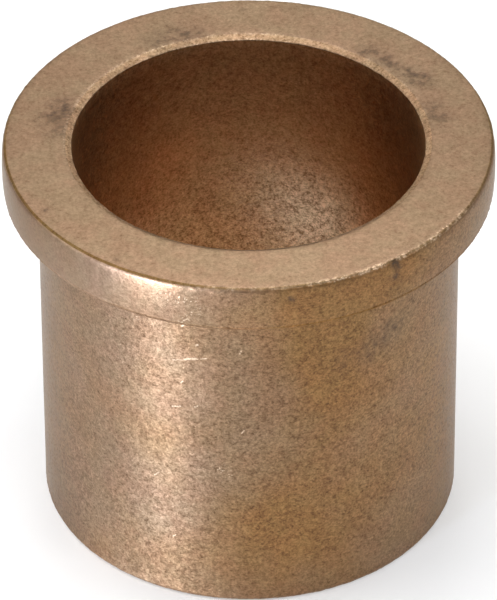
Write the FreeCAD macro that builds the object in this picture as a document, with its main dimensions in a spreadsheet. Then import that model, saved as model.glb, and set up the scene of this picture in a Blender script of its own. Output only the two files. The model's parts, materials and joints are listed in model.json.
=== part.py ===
import FreeCAD, Part
import os
import Sketcher

# Bronze flanged sleeve bushing: one pressed and sintered piece.
#
# Frame: millimetres, +Z up along the bore. The origin is the centre of the plain
# end face, so the bushing stands on Z = 0 with its flange at the top.
#
# The whole part is one closed half section turned once about Z. The section runs
# from the bore, under the plain end, up the sleeve, into the corner below the
# flange, round the flange's rim and back over the flange face to the bore.

NODE = "flanged_bushing"

# Driving dimensions: alias, value in mm, what it is.
DIMENSIONS = [
    ("bore_dia", 31.80, "bore for a 1-1/4 in shaft, with running clearance"),
    ("sleeve_dia", 38.14, "sleeve outside, press fit in a 1-1/2 in housing"),
    ("flange_dia", 44.45, "flange outside, 1-3/4 in"),
    ("overall_length", 38.10, "plain end to flange face, 1-1/2 in"),
    ("flange_thick", 4.7625, "flange thickness, 3/16 in"),
    ("bore_chamfer", 0.48, "45 degree chamfer at both ends of the bore"),
    ("face_chamfer", 0.34, "45 degree chamfer round the flange face"),
    ("under_chamfer", 0.26, "45 degree chamfer round the flange underside"),
    ("lead_in_depth", 0.18, "radial depth of the lead-in at the plain end"),
    ("lead_in_length", 0.36, "axial length of the lead-in at the plain end"),
    ("corner_radius", 0.40, "fillet where the sleeve meets the flange"),
]

# The half section's corners in order, as name, radius and height. The plain end
# lies on Z = 0, so its two corners have no height of their own.
BORE = "Dimensions.bore_dia / 2"
SLEEVE = "Dimensions.sleeve_dia / 2"
RIM = "Dimensions.flange_dia / 2"
TOP = "Dimensions.overall_length"
UNDER = "Dimensions.overall_length - Dimensions.flange_thick"
CORNERS = [
    ("bore_start", BORE, "Dimensions.bore_chamfer"),
    ("end_inner", BORE + " + Dimensions.bore_chamfer", None),
    ("end_outer", SLEEVE + " - Dimensions.lead_in_depth", None),
    ("sleeve_start", SLEEVE, "Dimensions.lead_in_length"),
    ("sleeve_corner", SLEEVE, UNDER),
    ("under_outer", RIM + " - Dimensions.under_chamfer", UNDER),
    ("rim_start", RIM, UNDER + " + Dimensions.under_chamfer"),
    ("rim_finish", RIM, TOP + " - Dimensions.face_chamfer"),
    ("face_outer", RIM + " - Dimensions.face_chamfer", TOP),
    ("face_inner", BORE + " + Dimensions.bore_chamfer", TOP),
    ("bore_finish", BORE, TOP + " - Dimensions.bore_chamfer"),
]

# Ends of a segment, and the sketch's own origin and horizontal axis, in the
# numbering that Sketcher constraints use.
START, END = 1, 2
SKETCH_ORIGIN = (-1, START)
HORIZONTAL_AXIS = -1

LENGTH_MATCH = 1e-4


def make_sheet(doc):
    """Spreadsheet of the driving dimensions, one aliased cell to a row."""
    sheet = doc.addObject("Spreadsheet::Sheet", "Dimensions")
    for row, (alias, value, note) in enumerate(DIMENSIONS, start=1):
        sheet.set("A%d" % row, alias)
        sheet.set("B%d" % row, str(value))
        sheet.set("C%d" % row, note)
        sheet.setAlias("B%d" % row, alias)
    doc.recompute()
    return sheet


def value_of(sheet, formula):
    """Number that a formula of the sheet's names comes to, in mm."""
    return float(sheet.evalExpression(formula))


def origin_feature(body, role):
    """Plane or axis of the body's own origin, found by its role."""
    for feature in body.Origin.OriginFeatures:
        if feature.Role == role:
            return feature
    raise RuntimeError("the body has no origin feature %s" % role)


def hold(sketch, kind, corner, name, formula, size):
    """Dimension from the sketch origin to a corner, bound to a formula."""
    constraint = Sketcher.Constraint(kind, *SKETCH_ORIGIN, corner, START, size)
    index = sketch.addConstraint(constraint)
    sketch.renameConstraint(index, name)
    sketch.setExpression("Constraints." + name, formula)


def draw_half_section(sketch, sheet):
    """Closed half section whose every corner is held by the sheet."""
    points = []
    for name, radius, height in CORNERS:
        z = value_of(sheet, height) if height else 0.0
        points.append(FreeCAD.Vector(value_of(sheet, radius), z, 0))

    count = len(points)
    for i in range(count):
        edge = Part.LineSegment(points[i], points[(i + 1) % count])
        sketch.addGeometry(edge, False)
    for i in range(count):
        joined = Sketcher.Constraint("Coincident", i, END, (i + 1) % count, START)
        sketch.addConstraint(joined)

    for i, (name, radius, height) in enumerate(CORNERS):
        hold(sketch, "DistanceX", i, "radius_" + name, radius, points[i].x)
        if height:
            hold(sketch, "DistanceY", i, "height_" + name, height, points[i].y)
        else:
            on_end = Sketcher.Constraint("PointOnObject", i, START, HORIZONTAL_AXIS)
            sketch.addConstraint(on_end)


def ring_edge(shape, radius, height):
    """Name of the circular edge with this radius at this height."""
    for number, edge in enumerate(shape.Edges, start=1):
        curve = edge.Curve
        if not isinstance(curve, Part.Circle):
            continue
        same_radius = abs(curve.Radius - radius) < LENGTH_MATCH
        same_height = abs(curve.Center.z - height) < LENGTH_MATCH
        if same_radius and same_height:
            return "Edge%d" % number
    raise RuntimeError("no ring edge at radius %.3f, height %.3f" % (radius, height))


def make_bushing(doc, sheet):
    """The bushing: turned half section, then the fillet under the flange."""
    body = doc.addObject("PartDesign::Body", "Bushing")
    body.Label = NODE

    section = body.newObject("Sketcher::SketchObject", "HalfSection")
    section.AttachmentSupport = (origin_feature(body, "XZ_Plane"), [""])
    section.MapMode = "FlatFace"
    draw_half_section(section, sheet)
    doc.recompute()

    turned = body.newObject("PartDesign::Revolution", "TurnedBlank")
    turned.Profile = section
    turned.ReferenceAxis = (origin_feature(body, "Z_Axis"), [""])
    turned.Angle = 360.0
    doc.recompute()

    corner = body.newObject("PartDesign::Fillet", "FlangeCorner")
    edge = ring_edge(turned.Shape, value_of(sheet, SLEEVE), value_of(sheet, UNDER))
    corner.Base = (turned, [edge])
    corner.setExpression("Radius", "Dimensions.corner_radius")
    body.Tip = corner

    # The plain end's centre is the part's origin, so the body stays there.
    body.Placement = FreeCAD.Placement()
    doc.recompute()
    return body


def check_document(doc):
    """Stop if any feature or sheet of the document failed to compute."""
    for item in doc.Objects:
        states = [str(state) for state in item.State]
        if "Invalid" in states or "Error" in states:
            raise RuntimeError("%s did not compute: %s" % (item.Name, states))


def write_step(body):
    """Check that the piece is one valid solid, and write its STEP file."""
    shape = body.Shape
    if shape.isNull() or not shape.isValid() or len(shape.Solids) != 1:
        raise RuntimeError("%s is not one valid solid" % body.Label)
    box = shape.BoundBox
    print("%s: %.3f x %.3f x %.3f mm, %.1f mm3, %d faces" % (
        body.Label, box.XLength, box.YLength, box.ZLength,
        shape.Volume, len(shape.Faces)))
    shape.exportStep("parts/%s.step" % body.Label)


doc = FreeCAD.newDocument("FlangedBushing")
sheet = make_sheet(doc)
bushing = make_bushing(doc, sheet)
check_document(doc)
os.makedirs("parts", exist_ok=True)
write_step(bushing)
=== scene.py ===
import json
import math
from collections import namedtuple

import bpy
import numpy as np
from mathutils import Matrix, Vector, noise


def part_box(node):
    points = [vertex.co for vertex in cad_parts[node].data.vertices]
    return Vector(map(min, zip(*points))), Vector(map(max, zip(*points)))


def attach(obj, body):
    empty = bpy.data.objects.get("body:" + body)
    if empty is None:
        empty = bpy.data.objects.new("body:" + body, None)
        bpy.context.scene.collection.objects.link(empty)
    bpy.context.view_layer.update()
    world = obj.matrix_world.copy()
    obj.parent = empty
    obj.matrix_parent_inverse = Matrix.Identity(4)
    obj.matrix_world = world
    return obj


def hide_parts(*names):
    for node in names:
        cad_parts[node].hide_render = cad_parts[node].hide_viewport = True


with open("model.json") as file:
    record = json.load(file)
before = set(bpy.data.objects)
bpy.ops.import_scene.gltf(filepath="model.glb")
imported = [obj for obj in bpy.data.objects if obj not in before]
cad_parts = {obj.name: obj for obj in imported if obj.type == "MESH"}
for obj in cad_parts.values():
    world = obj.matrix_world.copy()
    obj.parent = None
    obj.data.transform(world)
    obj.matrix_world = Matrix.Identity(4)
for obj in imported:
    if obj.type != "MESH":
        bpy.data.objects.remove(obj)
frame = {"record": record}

# Flanged sleeve bushing in sintered bronze, standing on its plain end.
# The frame is the CAD part's: +Z up along the bore, azimuth 0 towards -Y, + towards +X.
# Sizes of the piece are in mm and turn into metres where the mesh and the lights are made.

MM = 0.001
NODE = "flanged_bushing"

cad_low, cad_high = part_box(NODE)
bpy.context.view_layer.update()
mounts = {mount["name"]: mount for mount in frame["record"]["mounts"]}

# ---------------------------------------------------------------- sizes, in mm
# The radii and heights come from the CAD part.
TOP = (cad_high.z - cad_low.z) / MM
RIM_R = min(-cad_low.x, cad_high.x, -cad_low.y, cad_high.y) / MM
BORE_R = mounts["bore"]["dims"]["r_mm"]
SLEEVE_R = mounts["sleeve_od"]["dims"]["r_mm"]
UNDER_Z = mounts["flange_underside"]["pos_m"][2] / MM

# Chamfers. The mouth is the bore's chamfer at the flange; the lead-in is the sleeve's at the plain end.
MOUTH_WIDTH = 0.62
MOUTH_DEPTH = 0.32
FACE_CHAMFER = 0.29
UNDER_CHAMFER = 0.38
LEAD_DEPTH = 0.18
LEAD_LENGTH = 0.36
BORE_CHAMFER = 0.48

# Roundings of the corners, how far the rim's wall swells between its edges, and how far inside it
# a point still counts as on the rim.
MOUTH_INNER_ROUND = 0.12
MOUTH_OUTER_ROUND = 0.16
FACE_ROUND = 0.09
RIM_TOP_ROUND = 0.42
RIM_FOOT_ROUND = 0.45
CORNER_ROUND = 0.40
LEAD_ROUND = 0.12
EDGE_ROUND = 0.07
RIM_CROWN = 0.08
RIM_MARGIN = 0.01

# Mesh. The last ring of a zone lies ZONE_END before the next zone; an edge reaches EDGE_REACH.
SEGMENTS = 576
ROUND_STEPS = 3
ZONE_END = 0.02
EDGE_REACH = 0.15

# Unevenness: size and height of the burrs, how much the edges are worn down, size and height of the swell.
BURR_SIZE = 0.40
BURR_HEIGHT = 0.030
EDGE_LOSS = 0.016
SWELL_SIZE = 3.0
SWELL_HEIGHT = 0.004

# ---------------------------------------------------------------- zones of the surface
# steps: rings along the zone's straight run. grain: how strong the fine texture is there.
Zone = namedtuple("Zone", "steps tone roughness grain")
Ring = namedtuple("Ring", "radius height zone near_edge")

CLEAN = (1.0, 0.665, 0.43)
OCHRE = (1.0, 0.525, 0.19)
BORE_TONE = (1.34, 0.70, 0.31)
FACE_TONE = (1.0, 0.66, 0.41)
MOUTH_TONE = (0.94, 0.61, 0.36)
EDGE_TONE = (0.86, 0.54, 0.27)
TONE_STRENGTH = 0.265
# Tone of the painted light on the bore's far wall.
PAINTED_BORE_LIGHT_TONE = (0.55, 0.405, 0.27)

ZONES = {
    "mouth": Zone(6, MOUTH_TONE, 0.54, 1.0),
    "face": Zone(22, FACE_TONE, 0.46, 0.60),
    "rim_edge": Zone(4, EDGE_TONE, 0.50, 0.8),
    "rim": Zone(14, CLEAN, 0.34, 0.6),
    "rim_under": Zone(3, CLEAN, 0.55, 1.0),
    "underside": Zone(6, CLEAN, 0.45, 1.0),
    "sleeve": Zone(26, CLEAN, 0.35, 1.15),
    "lead_in": Zone(3, CLEAN, 0.42, 1.0),
    "end": Zone(6, CLEAN, 0.45, 1.0),
    "foot": Zone(3, BORE_TONE, 0.45, 1.0),
    "bore": Zone(30, BORE_TONE, 0.38, 0.80),
}

# Each finish: material name, anisotropy, weight of the oil film, tint at a flat angle.
FINISHES = [
    ("bronze_faces", 0.0, 0.0, (0.70, 0.67, 0.61, 1)),
    ("bronze_walls", 0.55, 0.3, (0.70, 0.66, 0.61, 1)),
    ("bronze_bore", 0.55, 0.0, (1.0, 0.92, 0.80, 1)),
]
FINISH_OF_ZONE = {"rim": 1, "sleeve": 1, "lead_in": 1, "bore": 2}


def corners():
    """Half section corners as (radius, height, rounding, zone of the run that follows)."""
    rim_wall = RIM_R - RIM_CROWN
    return [
        (BORE_R, TOP - MOUTH_DEPTH, MOUTH_INNER_ROUND, "mouth"),
        (BORE_R + MOUTH_WIDTH, TOP, MOUTH_OUTER_ROUND, "face"),
        (rim_wall - FACE_CHAMFER, TOP, FACE_ROUND, "rim_edge"),
        (rim_wall, TOP - FACE_CHAMFER, RIM_TOP_ROUND, "rim"),
        (rim_wall, UNDER_Z + UNDER_CHAMFER, RIM_FOOT_ROUND, "rim_under"),
        (rim_wall - UNDER_CHAMFER, UNDER_Z, EDGE_ROUND, "underside"),
        (SLEEVE_R, UNDER_Z, CORNER_ROUND, "sleeve"),
        (SLEEVE_R, LEAD_LENGTH, LEAD_ROUND, "lead_in"),
        (SLEEVE_R - LEAD_DEPTH, 0.0, EDGE_ROUND, "end"),
        (BORE_R + BORE_CHAMFER, 0.0, EDGE_ROUND, "foot"),
        (BORE_R, BORE_CHAMFER, EDGE_ROUND, "bore"),
    ]


def rounded_corner(before, here, after, rounding):
    """Points on the arc that rounds a corner of the half section, ends included."""
    into = (before - here).normalized()
    out = (after - here).normalized()
    half = into.angle(out) / 2
    reach = rounding / math.tan(half)
    start = here + into * reach
    finish = here + out * reach
    middle = here + (into + out).normalized() * rounding / math.sin(half)
    points = []
    for step in range(ROUND_STEPS + 1):
        chord = start.lerp(finish, step / ROUND_STEPS) - middle
        points.append(middle + chord.normalized() * rounding)
    return points


def straight_run(start, finish, zone):
    """Rings between two roundings; the rim's wall is crowned."""
    steps = ZONES[zone].steps
    last = 1.0 - ZONE_END / (finish - start).length
    rings = []
    for part in [step / steps for step in range(1, steps)] + [last]:
        point = start.lerp(finish, part)
        gap = min((point - start).length, (point - finish).length)
        bulge = 1.0 - (2.0 * part - 1.0) ** 2 if zone == "rim" else 0.0
        near_edge = math.exp(-((gap / EDGE_REACH) ** 2))
        rings.append(Ring(point.x + RIM_CROWN * bulge, point.y, zone, near_edge))
    return rings


def half_section():
    """Rings of the closed half section, in mm."""
    outline = corners()
    count = len(outline)
    places = [Vector(corner[:2]) for corner in outline]
    arcs = []
    for i, corner in enumerate(outline):
        arcs.append(rounded_corner(places[i - 1], places[i], places[(i + 1) % count], corner[2]))
    rings = []
    for i, corner in enumerate(outline):
        zone = corner[3]
        rings += [Ring(point.x, point.y, zone, 1.0) for point in arcs[i]]
        rings += straight_run(arcs[i][-1], arcs[(i + 1) % count][0], zone)
    return rings


# ---------------------------------------------------------------- places on the surface
def on_wall(radius, azimuth, height):
    """A point at a radius from the axis, in mm."""
    turn = math.radians(azimuth)
    return np.array([radius * math.sin(turn), -radius * math.cos(turn), height])


def field(points, scale, octaves, seed):
    """Smooth fractal noise at each point, about -1 to 1; scale is the size of its lumps in mm."""
    shift = Vector((seed * 17.3, seed * 5.1, seed * 9.7))
    values = [noise.fractal(Vector(p) / scale + shift, 0.6, 2.0, octaves) for p in points]
    return np.array(values)


def ramp(values, start, finish):
    """0 at the start, rising to 1 at the finish, and level beyond them."""
    return np.clip((values - start) / (finish - start), 0, 1)


def spot(points, centre, size):
    """A soft spot: 1 at the centre, fading out over the size in mm."""
    gap = np.linalg.norm(points - centre, axis=1)
    return np.exp(-((gap / size) ** 2))


def patches(points, places):
    """Sum of soft spots given as (radius, azimuth, height, size, strength)."""
    total = np.zeros(len(points))
    for radius, azimuth, height, size, strength in places:
        total += strength * spot(points, on_wall(radius, azimuth, height), size)
    return total


# (azimuth, height, size, depth, dirt) of nicks on the flange's outer edge.
NICKS = [
    (35.5, TOP - 0.40, 0.42, 0.20, 3.0),
    (36.1, TOP - 0.9, 0.40, 0.08, 2.0),
    (35.2, TOP - 1.6, 0.48, 0.04, 0.8),
    (9.5, TOP - 1.2, 0.42, 0.05, 0.9),
    (136.5, TOP - 0.15, 0.28, 0.12, 1.2),
    (-74.0, TOP - 0.10, 0.30, 0.05, 0.7),
]
DIRT_SPREAD = 0.8

# How much, and over what size of lump, the stains, the gold and the red vary by chance.
STAIN_WOBBLE, STAIN_SIZE = 1.2, 0.8
GOLD_WOBBLE, GOLD_SIZE = 0.25, 9.0
RED_WOBBLE, RED_SIZE = 0.25, 5.0

# How golden the outer walls are on the whole, and how much more so towards +X.
GOLD_LEVEL = 0.34
GOLD_SIDE = 0.35
GOLD_SIDE_X = (-0.65, 0.15)

# (radius, azimuth, height, size, strength) of the grey smudges, first on the face, then on the walls.
SMUDGES = [
    (17.5, -108.0, TOP, 1.2, 0.60),
    (17.7, -101.0, TOP, 1.4, 0.66),
    (17.3, -94.0, TOP, 1.2, 0.42),
    (17.5, -158.5, TOP, 1.4, 0.62),
    (17.3, -165.0, TOP, 1.2, 0.30),
    (17.6, -151.0, TOP, 1.3, 0.40),
    (17.5, 141.5, TOP, 0.85, 0.75),
    (17.5, 135.0, TOP, 1.0, 0.55),
    (17.4, 131.0, TOP, 0.8, 0.35),
    (17.6, 127.0, TOP, 0.9, 0.50),
    (17.9, 123.8, TOP, 0.8, 0.50),
    (18.2, 121.0, TOP, 0.9, 1.05),
    (17.9, 117.5, TOP, 1.1, 0.40),
    (17.3, 107.0, TOP, 1.2, 0.40),
    (17.4, 100.0, TOP, 1.2, 0.45),
    (20.8, -60.0, TOP, 0.35, 0.6),
    (21.2, -33.5, TOP, 0.30, 0.6),
    (20.4, -179.0, TOP, 0.30, 0.7),
    (SLEEVE_R, 27.0, 26.2, 1.2, 0.22),
    (SLEEVE_R, 33.0, 26.6, 1.3, 0.28),
    (SLEEVE_R, 38.0, 27.1, 1.6, 0.30),
    (SLEEVE_R, 43.5, 27.6, 1.5, 0.32),
    (RIM_R, 36.0, 34.9, 1.1, 0.18),
    (RIM_R, 47.0, 35.6, 1.2, 0.12),
    (SLEEVE_R, -9.0, 26.9, 1.0, 0.15),
]

# The same for where the outer walls are more golden.
GOLDEN = [
    (RIM_R, 18.0, 36.0, 5.0, 0.55),
    (RIM_R, 31.0, 36.0, 5.5, 0.55),
    (SLEEVE_R, 22.0, 29.0, 4.0, 0.55),
    (SLEEVE_R, 24.0, 23.0, 4.0, 0.55),
    (SLEEVE_R, 12.0, 8.0, 6.0, 0.55),
]

# The same for spots of painted light that make the outer walls paler: low on the sleeve and at the front
# of the rim.
PAINTED_LIGHT_SPOTS = [
    (SLEEVE_R, -43.0, 2.0, 4.5, 0.34),
    (SLEEVE_R, 0.0, 3.0, 6.0, 0.10),
    (RIM_R, -2.0, 35.5, 5.0, 0.20),
]

# The same for the patches of painted light inside the bore.
PAINTED_BORE_LIGHT = [
    (BORE_R, 157.0, 19.0, 4.2, 0.95),
    (BORE_R, 168.0, 15.0, 4.5, 0.12),
    (BORE_R, 150.0, 13.0, 4.5, 0.35),
    (BORE_R, 173.0, 22.0, 4.0, 0.25),
]

# The same for the redder patches inside the bore.
RUDDY = [
    (BORE_R, -151.0, 26.0, 3.2, 0.8),
    (BORE_R, -146.0, 22.0, 3.2, 0.8),
]

# (least radius, azimuth, half width in azimuth, strength) of the worn bright stretches of the top edges,
# partly worn metal and partly painted glints.
OUTER_EDGE = 20.0
MOUTH_EDGE = 18.0
WEAR_STEP = 0.15
WORN_AND_GLINTING_EDGES = [
    (OUTER_EDGE, 38.0, 32.0, 1.0),
    (OUTER_EDGE, 0.0, 22.0, 0.35),
    (0.0, -140.0, 75.0, 0.55),
    (0.0, 150.0, 60.0, 0.25),
]


def roughen_edges(points, normals, near_edge):
    """Burrs along the turned edges, a few nicks, and a slight unevenness all over."""
    fine = field(points, BURR_SIZE, 3, 1)
    broad = field(points, SWELL_SIZE, 2, 2)
    push = (BURR_HEIGHT * fine - EDGE_LOSS) * near_edge + SWELL_HEIGHT * (broad - 1)
    points = points + normals * push[:, None]
    for azimuth, height, size, depth, _ in NICKS:
        inward = -on_wall(1.0, azimuth, 0.0)
        dent = depth * spot(points, on_wall(RIM_R, azimuth, height), size)
        points = points + inward * dent[:, None]
    return keep_inside(points)


def keep_inside(points):
    """Moves points that left the CAD part's box back to it."""
    shrink = np.minimum(1.0, RIM_R / np.hypot(points[:, 0], points[:, 1]))
    points[:, :2] *= shrink[:, None]
    points[:, 2] = np.clip(points[:, 2], 0.0, TOP)
    return points


def stains(points):
    """How much grey oxide lies at each point, 0 to 1."""
    dirt = [(RIM_R, nick[0], nick[1], DIRT_SPREAD * nick[2], nick[4]) for nick in NICKS]
    wobble = STAIN_WOBBLE * field(points, STAIN_SIZE, 4, 3)
    return np.clip(patches(points, SMUDGES + dirt) * (1.0 + wobble), 0, 1)


def golden(points):
    """How golden the outer walls are at each point, 0 to 1."""
    lumps = GOLD_LEVEL + GOLD_WOBBLE * field(points, GOLD_SIZE, 3, 4)
    side = ramp(points[:, 0] / SLEEVE_R, *GOLD_SIDE_X) - 0.5
    return np.clip(lumps + patches(points, GOLDEN) + GOLD_SIDE * side, 0, 1)


def ruddy(points):
    """How red the bore is at each point, 0 to 1."""
    return np.clip(RED_WOBBLE * field(points, RED_SIZE, 3, 5) + patches(points, RUDDY), 0, 1)


def edge_wear_and_glint(points, near_edge):
    """How bare the metal is rubbed along the flange's two top edges, 0 to 1, partly wear and partly
    painted glints.
    """
    azimuth = np.degrees(np.arctan2(points[:, 0], -points[:, 1]))
    radius = np.hypot(points[:, 0], points[:, 1])
    total = np.zeros(len(points))
    for least_radius, middle, half_width, strength in WORN_AND_GLINTING_EDGES:
        gap = np.abs((azimuth - middle + 180.0) % 360.0 - 180.0)
        reached = (radius > least_radius) & ((radius < MOUTH_EDGE) | (least_radius == OUTER_EDGE))
        total = np.maximum(total, strength * reached * ramp(gap, half_width, half_width / 2))
    low = ramp(points[:, 2], TOP - 3 * WEAR_STEP, TOP - 2 * WEAR_STEP)
    high = ramp(points[:, 2], TOP - 2 * WEAR_STEP, TOP - WEAR_STEP)
    return total * near_edge * low * np.where(radius > OUTER_EDGE, high, 1.0)


# ---------------------------------------------------------------- the mesh
def spin(radial, upward):
    """Turns values of the half section once round the axis, one row for every vertex."""
    turns = math.pi / 2 + np.arange(SEGMENTS) * 2 * math.pi / SEGMENTS
    rows = np.zeros((len(radial), SEGMENTS, 3))
    rows[..., 0] = radial[:, None] * np.cos(turns)
    rows[..., 1] = radial[:, None] * np.sin(turns)
    rows[..., 2] = upward[:, None]
    return rows.reshape(-1, 3)


def quads(count):
    """Ring and segment of every face, and the faces between neighbouring rings."""
    ring, segment = np.meshgrid(np.arange(count), np.arange(SEGMENTS), indexing="ij")
    next_ring = (ring + 1) % count
    next_segment = (segment + 1) % SEGMENTS
    faces = np.stack([
        ring * SEGMENTS + segment,
        next_ring * SEGMENTS + segment,
        next_ring * SEGMENTS + next_segment,
        ring * SEGMENTS + next_segment,
    ], -1)
    return ring, segment, faces.reshape(-1, 4)


def revolve(rings):
    """Vertices, normals, faces and face-corner UVs of the half section turned once round."""
    section = np.array([(ring.radius, ring.height) for ring in rings])
    along = np.roll(section, -1, 0) - np.roll(section, 1, 0)
    along /= np.linalg.norm(along, axis=1)[:, None]
    points = spin(section[:, 0], section[:, 1])
    normals = spin(-along[:, 1], along[:, 0])
    ring, segment, faces = quads(len(rings))
    lengths = np.linalg.norm(np.roll(section, -1, 0) - section, axis=1)
    travel = np.concatenate([[0.0], np.cumsum(lengths)]) / lengths.sum()
    u0, u1 = segment / SEGMENTS, (segment + 1) / SEGMENTS
    v0, v1 = travel[ring], travel[ring + 1]
    uvs = np.stack([np.stack(pair, -1) for pair in ((u0, v0), (u0, v1), (u1, v1), (u1, v0))], 2)
    return points, normals, faces, uvs.reshape(-1, 2)


def per_ring(rings, pick):
    """A zone's value for every vertex."""
    return np.repeat(np.array([pick(ZONES[ring.zone]) for ring in rings], float), SEGMENTS, 0)


def having(rings, tone):
    """1 at the vertices of the zones with that tone, 0 elsewhere."""
    return per_ring(rings, lambda zone: zone.tone == tone)


# How much painted light and painted shade the tone gets by place: painted light on the sides of the mouth
# and the bore, painted shade on the sides of the face and at the top of the bore. The sides are those
# towards -X and +X.
MOUTH_SIDES_PAINTED_LIGHT = 0.5
BORE_SIDES_PAINTED_LIGHT = 0.22
FACE_SIDES_PAINTED_SHADE = 0.11
BORE_TOP_PAINTED_SHADE = 0.27

# The same for red, green and blue: painted shade on the outer edge's front left, redder in patches of the
# bore.
EDGE_LEFT_PAINTED_SHADE = (0.22, 0.28, 0.46)
RUDDY_SHIFT = (0.09, -0.02, -0.10)

# How much stronger the fine texture gets deep in the bore, on its patches of painted light and on the rim,
# and how much calmer it gets low down and on the left of the outer walls.
DEEP_GRAIN = 0.45
PAINTED_LIGHT_GRAIN = 0.65
RIM_GRAIN = 0.65
CALM_GRAIN = 0.22

# Where those changes begin and where they are full, along x, y or z.
EDGE_LEFT_X = (0.0, -6.0)
EDGE_FRONT_Y = (3.0, -1.0)
BORE_TOP_Z = (26.0, 35.0)
BORE_DEEP_Z = (26.0, 16.0)
RIM_GRAIN_X = (-6.0, -2.0)
CALM_Z = (9.0, 3.0)
CALM_X = (-2.0, -6.0)

# Roughness added at the edges and by oxide; how bare the bore's patches of painted light are; how clumped
# the texture is at the top of the bore and how much more so on those patches.
EDGE_ROUGHER = 0.10
STAIN_ROUGHER = 0.2
PAINTED_LIGHT_BARE = 0.70
TOP_CLUMPED = 0.25
PAINTED_LIGHT_CLUMPED = 1.4


def surface_tone(rings, points, painted_bore_light):
    """Colour of every vertex before the fine texture. The last argument is how much painted light lies on
    the bore there.
    """
    outer, inside = having(rings, CLEAN), having(rings, BORE_TONE)
    gold = (golden(points) * outer)[:, None]
    tone = per_ring(rings, lambda zone: zone.tone)
    tone = (tone * (1 - gold) + np.array(OCHRE) * gold) * TONE_STRENGTH

    sideways = np.abs(points[:, 0]) / np.hypot(points[:, 0], points[:, 1])
    # Painted light and painted shade, as factors of the tone.
    painted_light_and_shade = np.ones(len(points))
    # Painted light: spots that lighten the foot of the sleeve and the front of the rim.
    for place in PAINTED_LIGHT_SPOTS:
        painted_light_and_shade *= 1.0 + outer * patches(points, [place])
    # Painted light: the mouth's chamfer lighter towards the sides.
    painted_light_and_shade *= 1.0 + MOUTH_SIDES_PAINTED_LIGHT * having(rings, MOUTH_TONE) * sideways ** 3
    # Painted light: the bore's walls lighter towards the sides.
    painted_light_and_shade *= 1.0 + BORE_SIDES_PAINTED_LIGHT * inside * sideways ** 2
    # Painted shade: the face darker towards the sides.
    painted_light_and_shade *= 1.0 - FACE_SIDES_PAINTED_SHADE * having(rings, FACE_TONE) * sideways ** 2
    # Painted shade: the outer edge's chamfer darker at the front left.
    front_left = ramp(points[:, 0], *EDGE_LEFT_X) * ramp(points[:, 1], *EDGE_FRONT_Y)
    painted_edge_shade = (having(rings, EDGE_TONE) * front_left)[:, None] * np.array(EDGE_LEFT_PAINTED_SHADE)
    tone = tone * painted_light_and_shade[:, None] * (1.0 - painted_edge_shade)

    # Painted light on the bore's far wall.
    tone = tone * (1 - painted_bore_light[:, None]) + np.array(PAINTED_BORE_LIGHT_TONE) * painted_bore_light[:, None]
    # Painted shade: the bore darker towards its mouth.
    shaded = 1.0 - BORE_TOP_PAINTED_SHADE * inside * ramp(points[:, 2], *BORE_TOP_Z)
    redder = (ruddy(points) * inside)[:, None] * np.array(RUDDY_SHIFT)
    return tone * shaded[:, None] * (1.0 + redder)


def grain_strength(rings, points, depth, painted_bore_light):
    """How strong the fine texture is at every vertex. depth is how far down the bore it is."""
    grain = per_ring(rings, lambda zone: zone.grain) + DEEP_GRAIN * depth + PAINTED_LIGHT_GRAIN * painted_bore_light
    on_rim = np.hypot(points[:, 0], points[:, 1]) > RIM_R - RIM_CROWN - RIM_MARGIN
    grain = grain * (1.0 + RIM_GRAIN * on_rim * ramp(points[:, 0], *RIM_GRAIN_X))
    calm = np.maximum(ramp(points[:, 2], *CALM_Z), ramp(points[:, 0], *CALM_X))
    return grain * (1.0 - CALM_GRAIN * calm * having(rings, CLEAN))


def store(mesh, name, kind, values):
    """Adds a point attribute that the material reads."""
    attribute = mesh.attributes.new(name, kind, "POINT")
    key = "color" if kind == "FLOAT_COLOR" else "value"
    attribute.data.foreach_set(key, np.asarray(values, np.float32).reshape(-1))


def store_surface(mesh, rings, points, near_edge):
    """Works out what the materials read at every vertex."""
    inside = having(rings, BORE_TONE)
    # Painted light: bright patches on the far wall of the bore.
    painted_bore_light = np.clip(patches(points, PAINTED_BORE_LIGHT), 0, 1) * inside
    depth = ramp(points[:, 2], *BORE_DEEP_Z) * inside
    tone = surface_tone(rings, points, painted_bore_light)
    stain = stains(points)
    roughness = per_ring(rings, lambda zone: zone.roughness)
    roughness += EDGE_ROUGHER * near_edge + STAIN_ROUGHER * stain
    # This carries the worn edges with their painted glints, and the bore's painted light.
    wear = edge_wear_and_glint(points, near_edge) * (1.0 - stain) + PAINTED_LIGHT_BARE * painted_bore_light
    clumped = inside * (TOP_CLUMPED + (1.0 - TOP_CLUMPED) * depth) + PAINTED_LIGHT_CLUMPED * painted_bore_light
    store(mesh, "tone", "FLOAT_COLOR", np.column_stack([tone, np.ones(len(tone))]))
    store(mesh, "roughness", "FLOAT", roughness)
    store(mesh, "grain", "FLOAT", grain_strength(rings, points, depth, painted_bore_light))
    store(mesh, "stain", "FLOAT", stain)
    store(mesh, "wear", "FLOAT", wear)
    store(mesh, "clumped", "FLOAT", clumped)


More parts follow.
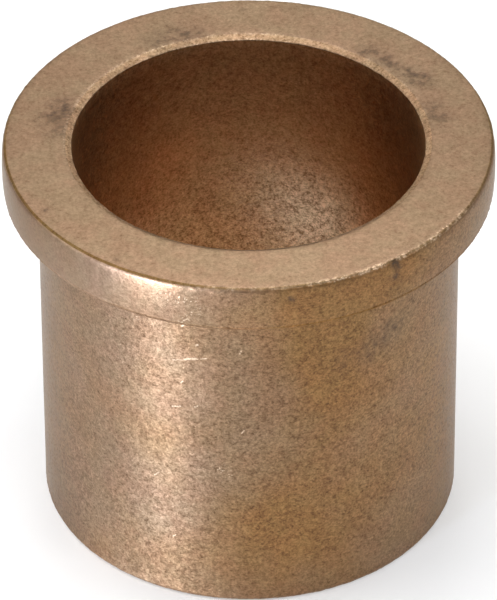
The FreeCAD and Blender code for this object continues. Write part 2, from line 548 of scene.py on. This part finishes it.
def build_bushing():
    rings = half_section()
    points, normals, faces, uvs = revolve(rings)
    near_edge = np.repeat(np.array([ring.near_edge for ring in rings]), SEGMENTS)
    placed = roughen_edges(points, normals, near_edge)

    mesh = bpy.data.meshes.new("bronze_bushing")
    mesh.from_pydata((placed * MM).tolist(), [], faces.tolist())
    mesh.update()
    layer = mesh.uv_layers.new(name="OFBake")
    layer.data.foreach_set("uv", uvs.astype(np.float32).reshape(-1))
    store_surface(mesh, rings, points, near_edge)
    mesh.shade_smooth()
    for finish in FINISHES:
        mesh.materials.append(bronze(*finish))
    finishes = np.array([FINISH_OF_ZONE.get(ring.zone, 0) for ring in rings], np.int32)
    mesh.polygons.foreach_set("material_index", np.repeat(finishes, SEGMENTS))
    piece = bpy.data.objects.new("bronze_bushing", mesh)
    bpy.context.scene.collection.objects.link(piece)
    return piece


# ---------------------------------------------------------------- shader graph helpers
Lumps = namedtuple("Lumps", "per_mm detail roughness")


class Graph:
    """Short calls for shader nodes. An input is a number, a tuple or another node's output."""

    def __init__(self, material):
        self.tree = material.node_tree

    def plug(self, socket, value):
        if isinstance(value, bpy.types.NodeSocket):
            self.tree.links.new(value, socket)
        else:
            socket.default_value = value

    def math(self, operation, a, b=0.0, clamp=False):
        node = self.tree.nodes.new("ShaderNodeMath")
        node.operation = operation
        node.use_clamp = clamp
        self.plug(node.inputs[0], a)
        self.plug(node.inputs[1], b)
        return node.outputs[0]

    def add(self, *values):
        total = values[0]
        for value in values[1:]:
            total = self.math("ADD", total, value)
        return total

    def times(self, *values):
        total = values[0]
        for value in values[1:]:
            total = self.math("MULTIPLY", total, value)
        return total

    def swing(self, value, middle, *factors):
        """How far a value is from its middle, scaled."""
        return self.times(self.math("SUBTRACT", value, middle), *factors)

    def vector(self, operation, a, b=(0, 0, 0), output="Vector"):
        node = self.tree.nodes.new("ShaderNodeVectorMath")
        node.operation = operation
        self.plug(node.inputs[0], a)
        self.plug(node.inputs["Scale"] if operation == "SCALE" else node.inputs[1], b)
        return node.outputs[output]

    def noise(self, points, lumps):
        node = self.tree.nodes.new("ShaderNodeTexNoise")
        self.plug(node.inputs["Vector"], points)
        node.inputs["Scale"].default_value = lumps.per_mm
        node.inputs["Detail"].default_value = lumps.detail
        node.inputs["Roughness"].default_value = lumps.roughness
        return node.outputs["Fac"]

    def step(self, value, low, high, to_low=0.0, to_high=1.0):
        """Smooth step from low to high."""
        node = self.tree.nodes.new("ShaderNodeMapRange")
        node.interpolation_type = "SMOOTHSTEP"
        self.plug(node.inputs["Value"], value)
        limits = {"From Min": low, "From Max": high, "To Min": to_low, "To Max": to_high}
        for name, number in limits.items():
            self.plug(node.inputs[name], number)
        return node.outputs["Result"]

    def mix(self, factor, a, b, blend="MIX"):
        node = self.tree.nodes.new("ShaderNodeMix")
        node.data_type = "RGBA"
        node.blend_type = blend
        node.clamp_result = False
        self.plug(node.inputs[0], factor)
        self.plug(node.inputs[6], a)
        self.plug(node.inputs[7], b)
        return node.outputs[2]

    def attribute(self, name, output="Fac"):
        node = self.tree.nodes.new("ShaderNodeAttribute")
        node.attribute_name = name
        return node.outputs[output]

    def capsule(self, points, start, finish, width):
        """1 on the line from start to finish, fading to 0 at the width, all in mm."""
        start, finish = Vector(start), Vector(finish)
        along = finish - start
        offset = self.vector("SUBTRACT", points, tuple(start))
        part = self.vector("DOT_PRODUCT", offset, tuple(along / along.length_squared), "Value")
        part = self.math("MULTIPLY", part, 1.0, clamp=True)
        nearest = self.vector("SCALE", tuple(along), part)
        gap = self.vector("LENGTH", self.vector("SUBTRACT", offset, nearest), output="Value")
        return self.step(gap, 0.0, width, 1.0, 0.0)


# ---------------------------------------------------------------- bronze
# Clusters of painted glints, bright specks in the highlights: (wall radius, azimuth, height) of both ends,
# then the width.
PAINTED_GLINTS = [
    ((RIM_R, -16.5, 34.0), (RIM_R, -11.0, 35.6), 0.75),
    ((RIM_R, -20.0, 36.4), (RIM_R, -13.0, 36.5), 0.90),
    ((SLEEVE_R, -8.5, 15.6), (SLEEVE_R, -4.5, 14.6), 0.80),
    ((SLEEVE_R, -34.0, 31.0), (SLEEVE_R, -31.0, 30.4), 0.60),
]

# Bright scratches on the outside, given the same way.
SCRATCHES = [
    ((SLEEVE_R, -20.8, 27.0), (SLEEVE_R, -11.5, 27.8), 0.10),
    ((SLEEVE_R, -17.5, 27.35), (SLEEVE_R, -14.5, 27.6), 0.20),
    ((SLEEVE_R, -18.2, 31.0), (SLEEVE_R, -15.5, 32.1), 0.12),
    ((RIM_R, -15.6, 33.9), (RIM_R, -14.2, 34.5), 0.16),
    ((SLEEVE_R, -14.3, 29.1), (SLEEVE_R, -13.9, 29.2), 0.16),
    ((SLEEVE_R, -2.6, 28.6), (SLEEVE_R, -2.2, 28.9), 0.12),
    ((SLEEVE_R, -21.3, 21.7), (SLEEVE_R, -19.0, 21.9), 0.12),
    ((SLEEVE_R, -14.9, 22.1), (SLEEVE_R, -13.9, 22.3), 0.12),
    ((SLEEVE_R, -18.7, 24.6), (SLEEVE_R, -18.2, 24.8), 0.12),
    ((SLEEVE_R, -2.2, 19.6), (SLEEVE_R, -1.6, 19.9), 0.10),
    ((SLEEVE_R, -21.6, 6.6), (SLEEVE_R, -20.9, 6.8), 0.10),
    ((SLEEVE_R, -26.8, 13.2), (SLEEVE_R, -25.6, 13.6), 0.10),
]

# The texture's noises, from the largest lumps to the smallest.
BLOTCH = Lumps(0.16, 2.0, 0.5)
HUE = Lumps(0.33, 3.0, 0.65)
CLOUD = Lumps(0.45, 2.0, 0.5)
LATHE_LINE = Lumps(1.0, 2.0, 0.5)
CLUMP = Lumps(1.3, 2.0, 0.5)
MOTTLE = Lumps(1.9, 2.0, 0.6)
BURR = Lumps(3.2, 1.0, 0.5)
PORE = Lumps(3.6, 1.0, 0.6)
GRAIN = Lumps(4.6, 2.0, 0.75)
GLINT = Lumps(5.0, 1.0, 0.5)
SPECK = Lumps(6.0, 1.0, 0.5)

# How much each noise lightens the tone where it is high.
BLOTCH_TONE = 0.16
CLOUD_TONE = 0.27
MOTTLE_TONE = 1.0
GRAIN_TONE = 1.55
CLUMP_TONE = 0.16
PORE_TONE = -0.10

# How much each adds to the roughness.
MOTTLE_ROUGHER = 0.22
GRAIN_ROUGHER = 0.15
PORE_ROUGHER = 0.10
BARE_ROUGHER = -0.08

# How high each stands, in mm.
GRAIN_HEIGHT = 0.010
MOTTLE_HEIGHT = 0.012
PORE_HEIGHT = -0.002
LINE_HEIGHT = 0.003
SPECK_HEIGHT = 0.008

# Stretch of the points along x, y and z for the grains and for the lathe's lines.
GRAIN_STRETCH = (1.0, 1.0, 1.15)
LINE_STRETCH = (0.25, 0.25, 7.0)

# Multipliers of the tone in the darkest and the lightest grains, and two slight shifts of hue.
DARK_GRAIN = (0.42, 0.35, 0.27, 1)
LIGHT_GRAIN = (1.58, 1.65, 1.73, 1)
PINKER = (1.02, 0.975, 0.97, 1)
GREENER = (0.985, 1.01, 0.99, 1)
OXIDE = (0.098, 0.066, 0.046, 1)
# Colour of bare metal, also used for the painted glints and the bore's painted light.
BARE_BRONZE_AND_PAINTED_GLINT = (0.80, 0.60, 0.42, 1)

QUARTER_TURN = 0.25
COAT_ROUGHNESS = 0.4

Texture = namedtuple("Texture", "points strength wear blotch cloud mottle grain specks lines pores clumps")


def texture(graph):
    """The noises and attributes that colour, roughness and bump share."""
    place = graph.tree.nodes.new("ShaderNodeTexCoord").outputs["Object"]
    points = graph.vector("SCALE", place, 1.0 / MM)
    squashed = graph.vector("MULTIPLY", points, GRAIN_STRETCH)
    turned = graph.vector("MULTIPLY", points, LINE_STRETCH)
    strength = graph.attribute("grain")
    pores = graph.step(graph.noise(squashed, PORE), 0.34, 0.50, 1.0, 0.0)
    return Texture(
        points=points,
        strength=strength,
        wear=graph.attribute("wear"),
        blotch=graph.noise(points, BLOTCH),
        cloud=graph.noise(points, CLOUD),
        mottle=graph.noise(squashed, MOTTLE),
        grain=graph.noise(squashed, GRAIN),
        specks=graph.step(graph.noise(points, SPECK), 0.52, 0.64),
        lines=graph.noise(turned, LATHE_LINE),
        pores=graph.times(pores, strength),
        clumps=graph.step(graph.noise(points, CLUMP), 0.36, 0.62, 0.30, 1.0),
    )


def marks(graph, points, places):
    """The strongest of several capsules at each point."""
    total = 0.0
    for start, finish, width in places:
        one = graph.capsule(points, on_wall(*start), on_wall(*finish), width)
        total = graph.math("MAXIMUM", total, one)
    return total


def bare_metal_and_painted_light(graph, look):
    """How bare the metal is, with painted light: on worn edges that carry painted glints, on the bore's
    patches of painted light, in painted glints and in scratches.
    """
    burrs = graph.step(graph.noise(look.points, BURR), 0.42, 0.58, 0.10, 1.0)
    speckled = graph.add(0.45, graph.times(look.specks, 0.55))
    worn_and_painted_light = graph.times(look.wear, burrs, look.clumps, speckled)
    glints = graph.step(graph.noise(look.points, GLINT), 0.60, 0.72, 0.0, 0.8)
    painted_sparkles = graph.times(marks(graph, look.points, PAINTED_GLINTS), glints)
    broken = graph.step(look.grain, 0.35, 0.55)
    scratches = graph.times(marks(graph, look.points, SCRATCHES), broken)
    return graph.math("MAXIMUM", graph.math("MAXIMUM", worn_and_painted_light, painted_sparkles), scratches)


def base_color(graph, look, bare_and_painted_light):
    """Light and dark grains over the tone, then oxide, then bare metal with its painted glints and painted
    light.
    """
    light = graph.add(
        0.5,
        graph.swing(look.blotch, 0.5, BLOTCH_TONE),
        graph.swing(look.cloud, 0.5, look.strength, CLOUD_TONE),
        graph.swing(look.mottle, 0.5, look.strength, MOTTLE_TONE),
        graph.swing(look.grain, 0.5, look.strength, GRAIN_TONE),
        graph.times(look.pores, PORE_TONE),
        graph.swing(look.clumps, 0.65, graph.attribute("clumped"), CLUMP_TONE),
    )
    shade = graph.mix(light, DARK_GRAIN, LIGHT_GRAIN)
    color = graph.mix(1.0, graph.attribute("tone", "Color"), shade, "MULTIPLY")
    hue = graph.step(graph.noise(look.points, HUE), 0.35, 0.65)
    color = graph.mix(1.0, color, graph.mix(hue, PINKER, GREENER), "MULTIPLY")
    patchy = graph.step(look.mottle, 0.30, 0.60, 1.3, 0.6)
    stain = graph.times(graph.attribute("stain"), patchy)
    color = graph.mix(graph.math("MULTIPLY", stain, 0.75, clamp=True), color, OXIDE)
    return graph.mix(bare_and_painted_light, color, BARE_BRONZE_AND_PAINTED_GLINT)


def base_roughness(graph, look, bare_and_painted_light):
    return graph.add(
        graph.attribute("roughness"),
        graph.swing(look.mottle, 0.5, MOTTLE_ROUGHER),
        graph.swing(look.grain, 0.5, GRAIN_ROUGHER),
        graph.times(bare_and_painted_light, BARE_ROUGHER),
        graph.times(look.pores, PORE_ROUGHER),
    )


def bumped_normal(graph, look):
    """The normal bent by the fine texture."""
    height = graph.add(
        graph.times(look.grain, GRAIN_HEIGHT),
        graph.times(look.mottle, MOTTLE_HEIGHT),
        graph.times(look.pores, PORE_HEIGHT),
        graph.times(look.lines, LINE_HEIGHT),
        graph.times(look.specks, look.wear, SPECK_HEIGHT),
    )
    bump = graph.tree.nodes.new("ShaderNodeBump")
    bump.inputs["Distance"].default_value = MM
    bump.inputs["Strength"].default_value = 1.0
    graph.plug(bump.inputs["Height"], height)
    return bump.outputs["Normal"]


def round_the_axis(graph):
    """The tangent that runs round the bushing's axis."""
    tangent = graph.tree.nodes.new("ShaderNodeTangent")
    tangent.direction_type = "RADIAL"
    tangent.axis = "Z"
    return tangent.outputs["Tangent"]


def bronze(name, anisotropy, oil, flat_tint):
    """Sintered bronze. The anisotropy spreads highlights along the axis."""
    material = bpy.data.materials.new(name)
    material.use_nodes = True
    graph = Graph(material)
    shader = graph.tree.nodes["Principled BSDF"]
    shader.inputs["Metallic"].default_value = 1.0
    shader.inputs["Specular Tint"].default_value = flat_tint
    shader.inputs["Anisotropic"].default_value = anisotropy
    shader.inputs["Anisotropic Rotation"].default_value = QUARTER_TURN
    shader.inputs["Coat Weight"].default_value = oil
    shader.inputs["Coat Roughness"].default_value = COAT_ROUGHNESS
    look = texture(graph)
    bare_and_painted_light = bare_metal_and_painted_light(graph, look)
    graph.plug(shader.inputs["Base Color"], base_color(graph, look, bare_and_painted_light))
    graph.plug(shader.inputs["Roughness"], base_roughness(graph, look, bare_and_painted_light))
    graph.plug(shader.inputs["Normal"], bumped_normal(graph, look))
    graph.plug(shader.inputs["Tangent"], round_the_axis(graph))
    return material


# ---------------------------------------------------------------- floor and light
# Lengths here are in metres and powers in watts.
FLOOR_REACH = 1.5
FLOOR_GAP = 0.1 * MM
FLOOR_COLOR = (0.62, 0.62, 0.62, 1)
FLOOR_GLOW = 0.37
SKY = 0.25
WHITE = (1.0, 1.0, 1.0)
COOL = (0.90, 1.0, 1.21)

# (name, place, diameter, power) of the soft boxes that face straight down.
DOWN_LAMPS = [
    ("overhead", (0, 0, 0.178), 0.12, 0.25),
    ("overhead_back", (0, 0.22, 0.258), 0.12, 0.225),
    ("floor_left", (-0.045, -0.022, 0.045), 0.03, 0.009),
]

# (name, azimuth, elevation, distance, diameter, power, colour) of those that face the bushing.
ROUND_LAMPS = [
    ("key", -41, 0, 0.4, 0.04, 2.42, COOL),
    ("right_high", 52, 60, 0.5, 0.05, 0.14, WHITE),
    ("right", 80, 40, 0.6, 0.26, 0.44, WHITE),
    ("right_back", 132, 28, 0.6, 0.26, 0.26, WHITE),
    ("left_back", -138, 22, 0.6, 0.26, 0.50, WHITE),
    ("left_high", -75, 40, 0.6, 0.26, 0.18, WHITE),
]
LAMP_TARGET = Vector((0, 0, 20 * MM))
DOWN = Vector((0, 0, -1))


def floor_material():
    material = bpy.data.materials.new("floor_white")
    material.use_nodes = True
    shader = material.node_tree.nodes["Principled BSDF"]
    shader.inputs["Base Color"].default_value = FLOOR_COLOR
    shader.inputs["Roughness"].default_value = 0.9
    shader.inputs["Emission Color"].default_value = (1, 1, 1, 1)
    shader.inputs["Emission Strength"].default_value = FLOOR_GLOW
    return material


def build_floor():
    mesh = bpy.data.meshes.new("floor")
    signs = [(-1, -1), (1, -1), (1, 1), (-1, 1)]
    outline = [(x * FLOOR_REACH, y * FLOOR_REACH, 0) for x, y in signs]
    mesh.from_pydata(outline, [], [(0, 1, 2, 3)])
    mesh.materials.append(floor_material())
    floor = bpy.data.objects.new("floor", mesh)
    floor.location.z = cad_low.z - FLOOR_GAP
    bpy.context.scene.collection.objects.link(floor)


def direction(azimuth, elevation):
    """Unit vector towards a compass point: azimuth 0 is the camera's side, + to the right."""
    az, el = math.radians(azimuth), math.radians(elevation)
    return Vector((math.sin(az) * math.cos(el), -math.cos(az) * math.cos(el), math.sin(el)))


def soft_box(name, place, target, diameter, power, color=WHITE):
    """A round soft box that faces the target, hidden from the camera itself."""
    data = bpy.data.lights.new(name, "AREA")
    data.shape = "DISK"
    data.size = diameter
    data.energy = power
    data.color = color
    lamp = bpy.data.objects.new(name, data)
    lamp.location = place
    lamp.rotation_euler = (target - place).to_track_quat("-Z", "Y").to_euler()
    lamp.visible_camera = False
    bpy.context.scene.collection.objects.link(lamp)


def build_light():
    world = bpy.data.worlds.new("studio")
    world.use_nodes = True
    background = world.node_tree.nodes["Background"]
    background.inputs["Color"].default_value = (1, 1, 1, 1)
    background.inputs["Strength"].default_value = SKY
    bpy.context.scene.world = world
    for name, place, diameter, power in DOWN_LAMPS:
        soft_box(name, Vector(place), Vector(place) + DOWN, diameter, power)
    for name, azimuth, elevation, distance, diameter, power, color in ROUND_LAMPS:
        place = LAMP_TARGET + direction(azimuth, elevation) * distance
        soft_box(name, place, LAMP_TARGET, diameter, power, color)


# ---------------------------------------------------------------- camera
CAMERA_ELEVATION = 37.68
CAMERA_ROLL = -0.29
CAMERA_LENS = 380.3
CAMERA_SENSOR = 36.0
CAMERA_AIM = Vector((-0.068 * MM, 0, 19.9 * MM))
CAMERA_DISTANCE = 580.5 * MM
CAMERA_CLIP = 10 * MM


def build_camera():
    data = bpy.data.cameras.new("camera")
    data.lens = CAMERA_LENS
    data.sensor_width = CAMERA_SENSOR
    data.clip_start = CAMERA_CLIP
    camera = bpy.data.objects.new("camera", data)
    camera.location = CAMERA_AIM + direction(0, CAMERA_ELEVATION) * CAMERA_DISTANCE
    look = (CAMERA_AIM - camera.location).to_track_quat("-Z", "Y").to_matrix().to_4x4()
    roll = Matrix.Rotation(math.radians(CAMERA_ROLL), 4, "Z")
    camera.matrix_world = Matrix.Translation(camera.location) @ look @ roll
    bpy.context.scene.collection.objects.link(camera)
    bpy.context.scene.camera = camera


bushing = build_bushing()
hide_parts(NODE)
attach(bushing, "root")
build_floor()
build_light()
build_camera()
bpy.context.scene.view_settings.view_transform = "Standard"
